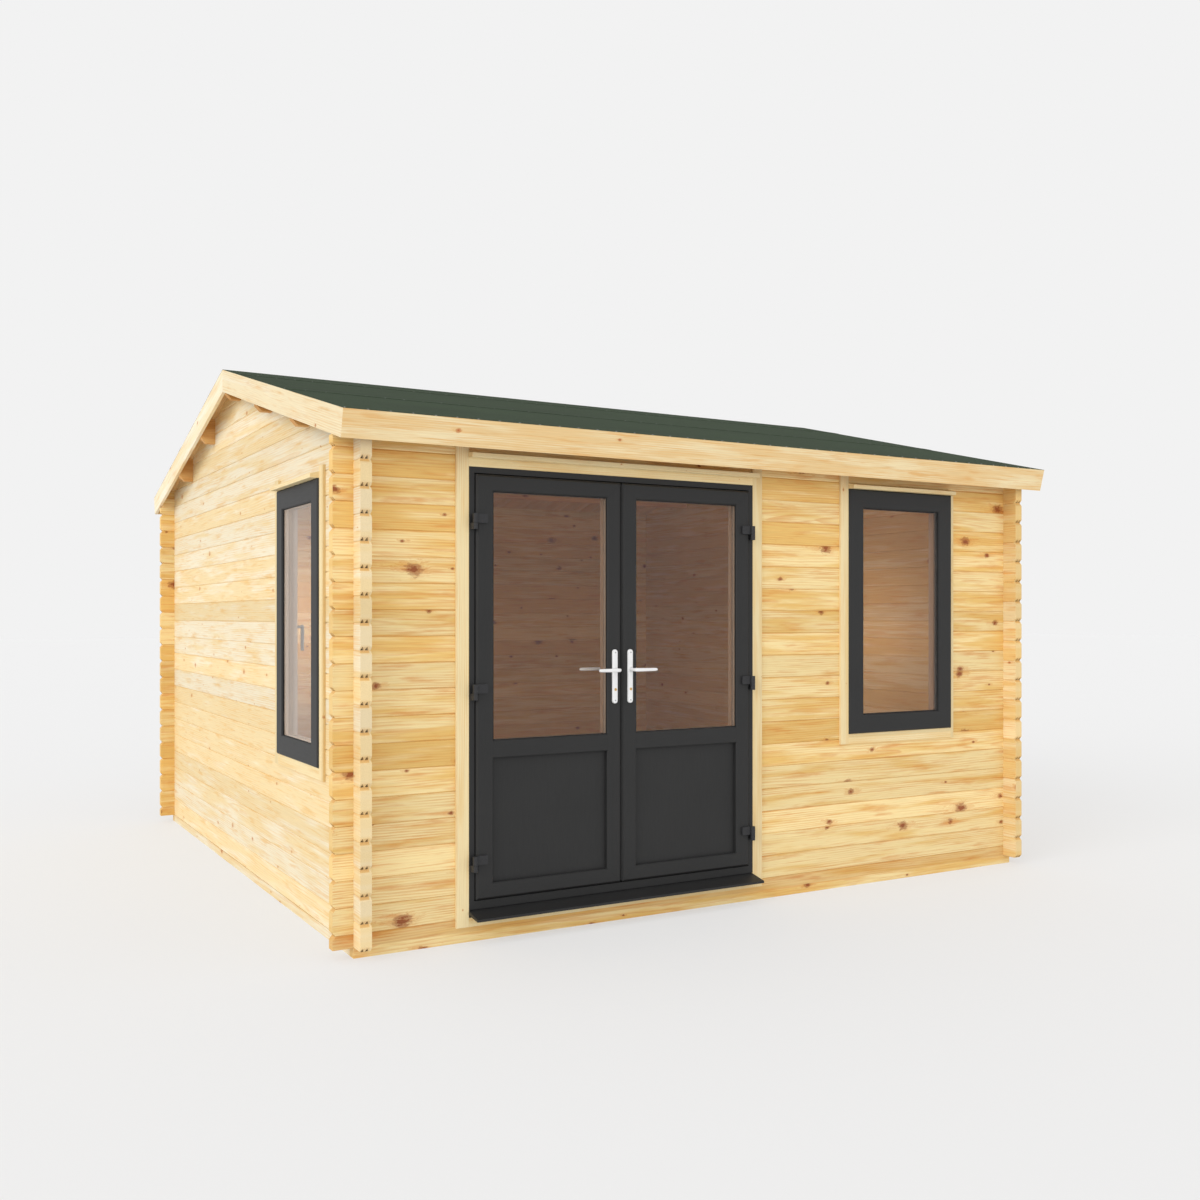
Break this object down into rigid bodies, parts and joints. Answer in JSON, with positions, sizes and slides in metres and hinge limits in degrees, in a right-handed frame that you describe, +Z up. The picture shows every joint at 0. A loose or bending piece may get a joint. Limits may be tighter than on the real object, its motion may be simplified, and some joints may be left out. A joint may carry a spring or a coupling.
{
  "type": "log cabin",
  "caption": "Small gable-roofed cabin of interlocking logs with a glazed double door in front, a side window and a felt roof.",
  "frame": {"origin": "centre of the footprint at ground level", "axes": "+Z up, the door faces -Y, the ridge runs along X"},
  "size_m": [4.2, 4.34, 2.8498],
  "materials": {
    "logs": "planed untreated spruce",
    "trim_boards": "planed untreated spruce",
    "boards": "tongue-and-groove boards",
    "bearers": "sawn timber",
    "painted_joinery": "anthracite satin paint with a faint wood grain",
    "felt": "mineral roofing felt",
    "glass": "clear double glazing",
    "fittings": "satin, near white",
    "hinges": "anthracite coated",
    "brass": "satin"
  },
  "bodies": {
    "cabin": {"cross_bearers": "bearers", "side_bearers": "bearers", "floor_joists": "bearers", "front_sole_log": "logs", "front_wall_left": "logs", "front_wall_middle": "logs", "front_wall_right": "logs", "front_wall_under_window": "logs", "front_wall_top": "logs", "back_wall": "logs", "left_wall_lower": "logs", "left_wall_front": "logs", "left_wall_back": "logs", "left_gable": "logs", "right_wall": "logs", "right_gable": "logs", "floor_boards": "boards", "purlins": "boards", "front_roof_boards": "boards", "back_roof_boards": "boards", "eaves_fascias": "trim_boards", "barge_boards": "trim_boards", "door_side_trims": "trim_boards", "door_cross_trims": "trim_boards", "window_side_trims": "trim_boards", "window_cross_trims": "trim_boards", "inside_casings": "trim_boards", "door_jambs": "painted_joinery", "door_head": "painted_joinery", "door_sill": "painted_joinery", "front_window_frame": "painted_joinery", "left_window_frame": "painted_joinery", "roof_felt": "felt", "window_glass": "glass", "door_hinge_pins": "hinges", "window_handles": "fittings"},
    "left_leaf": {"left_leaf_frame": "painted_joinery", "left_leaf_panel": "painted_joinery", "left_leaf_glass": "glass", "left_leaf_hinges": "hinges", "left_leaf_plates": "fittings", "left_leaf_lock": "brass"},
    "right_leaf": {"right_leaf_frame": "painted_joinery", "right_leaf_panel": "painted_joinery", "right_leaf_glass": "glass", "right_leaf_hinges": "hinges", "right_leaf_plates": "fittings", "right_leaf_lock": "brass"},
    "left_lever": {"left_lever": "fittings"},
    "right_lever": {"right_lever": "fittings"}
  },
  "joints": [
    {"name": "left_leaf_hinge", "type": "hinge", "parent": "cabin", "child": "left_leaf", "pos_m": [-1.455, -2.0425, 1.112], "axis": [0, 0, -1], "range_deg": [0, 160]},
    {"name": "right_leaf_hinge", "type": "hinge", "parent": "cabin", "child": "right_leaf", "pos_m": [0.08, -2.0425, 1.112], "axis": [0, 0, 1], "range_deg": [0, 160]},
    {"name": "left_lever_turn", "type": "hinge", "parent": "left_leaf", "child": "left_lever", "pos_m": [-0.73, -2, 1.2], "axis": [0, -1, 0], "range_deg": [0, 45], "stiffness_Nm_per_rad": 0.6, "springref_deg": -28.65},
    {"name": "right_lever_turn", "type": "hinge", "parent": "right_leaf", "child": "right_lever", "pos_m": [-0.645, -2, 1.2], "axis": [0, 1, 0], "range_deg": [0, 45], "stiffness_Nm_per_rad": 0.6, "springref_deg": -28.65}
  ]
}
